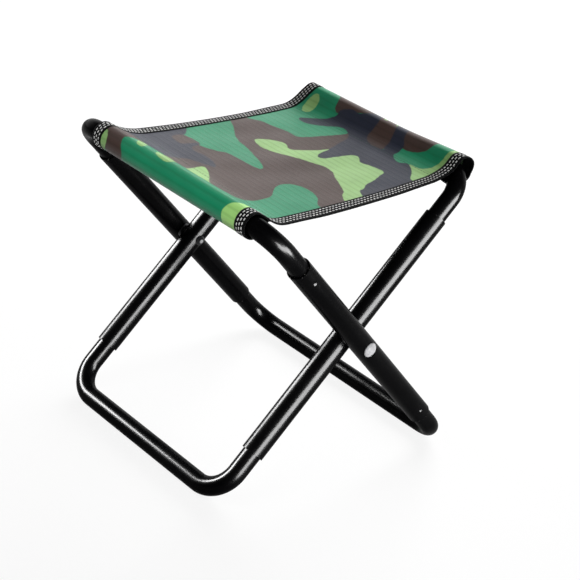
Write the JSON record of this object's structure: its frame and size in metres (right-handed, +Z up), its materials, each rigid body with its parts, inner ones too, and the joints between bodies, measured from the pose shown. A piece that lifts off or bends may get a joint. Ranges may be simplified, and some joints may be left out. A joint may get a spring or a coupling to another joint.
{
  "type": "folding camp stool",
  "caption": "Folding camp stool: crossed tube frames that hinge on rivets, with a camouflage cloth seat slung between sleeves on the top rails.",
  "frame": {"origin": "on the floor, under the middle of the seat, with the stool open", "axes": "+Z up; X across the seat from rail to rail, the outer frame's top rail at -X; Y along the rails and the rivets, front at -Y"},
  "size_m": [0.2476, 0.2614, 0.2531],
  "materials": {
    "tube_paint": "gloss black powder coat on steel tube",
    "rivet_zinc": "zinc-plated steel",
    "spacer_nylon": "black nylon",
    "seat_cloth": "ribbed polyester cloth with a printed camouflage pattern",
    "binding_tape": "black woven tape with rows of pale stitches"
  },
  "bodies": {
    "outer_frame": {"outer_leg_front": "tube_paint", "outer_leg_rear": "tube_paint", "outer_top_rail": "tube_paint", "outer_bottom_rail": "tube_paint", "pivot_rivet_front": "rivet_zinc", "pivot_rivet_rear": "rivet_zinc", "pivot_spacer_front": "spacer_nylon", "pivot_spacer_rear": "spacer_nylon", "seat_cloth": "seat_cloth", "front_binding": "binding_tape", "rear_binding": "binding_tape"},
    "inner_frame": {"inner_leg_front": "tube_paint", "inner_leg_rear": "tube_paint", "inner_top_rail": "tube_paint", "inner_bottom_rail": "tube_paint"}
  },
  "joints": [
    {"name": "fold", "type": "hinge", "parent": "outer_frame", "child": "inner_frame", "pos_m": [0, 0, 0.12525], "axis": [0, -1, 0], "range_deg": [0, 72], "deforming": ["seat_cloth", "front_binding", "rear_binding"]}
  ]
}
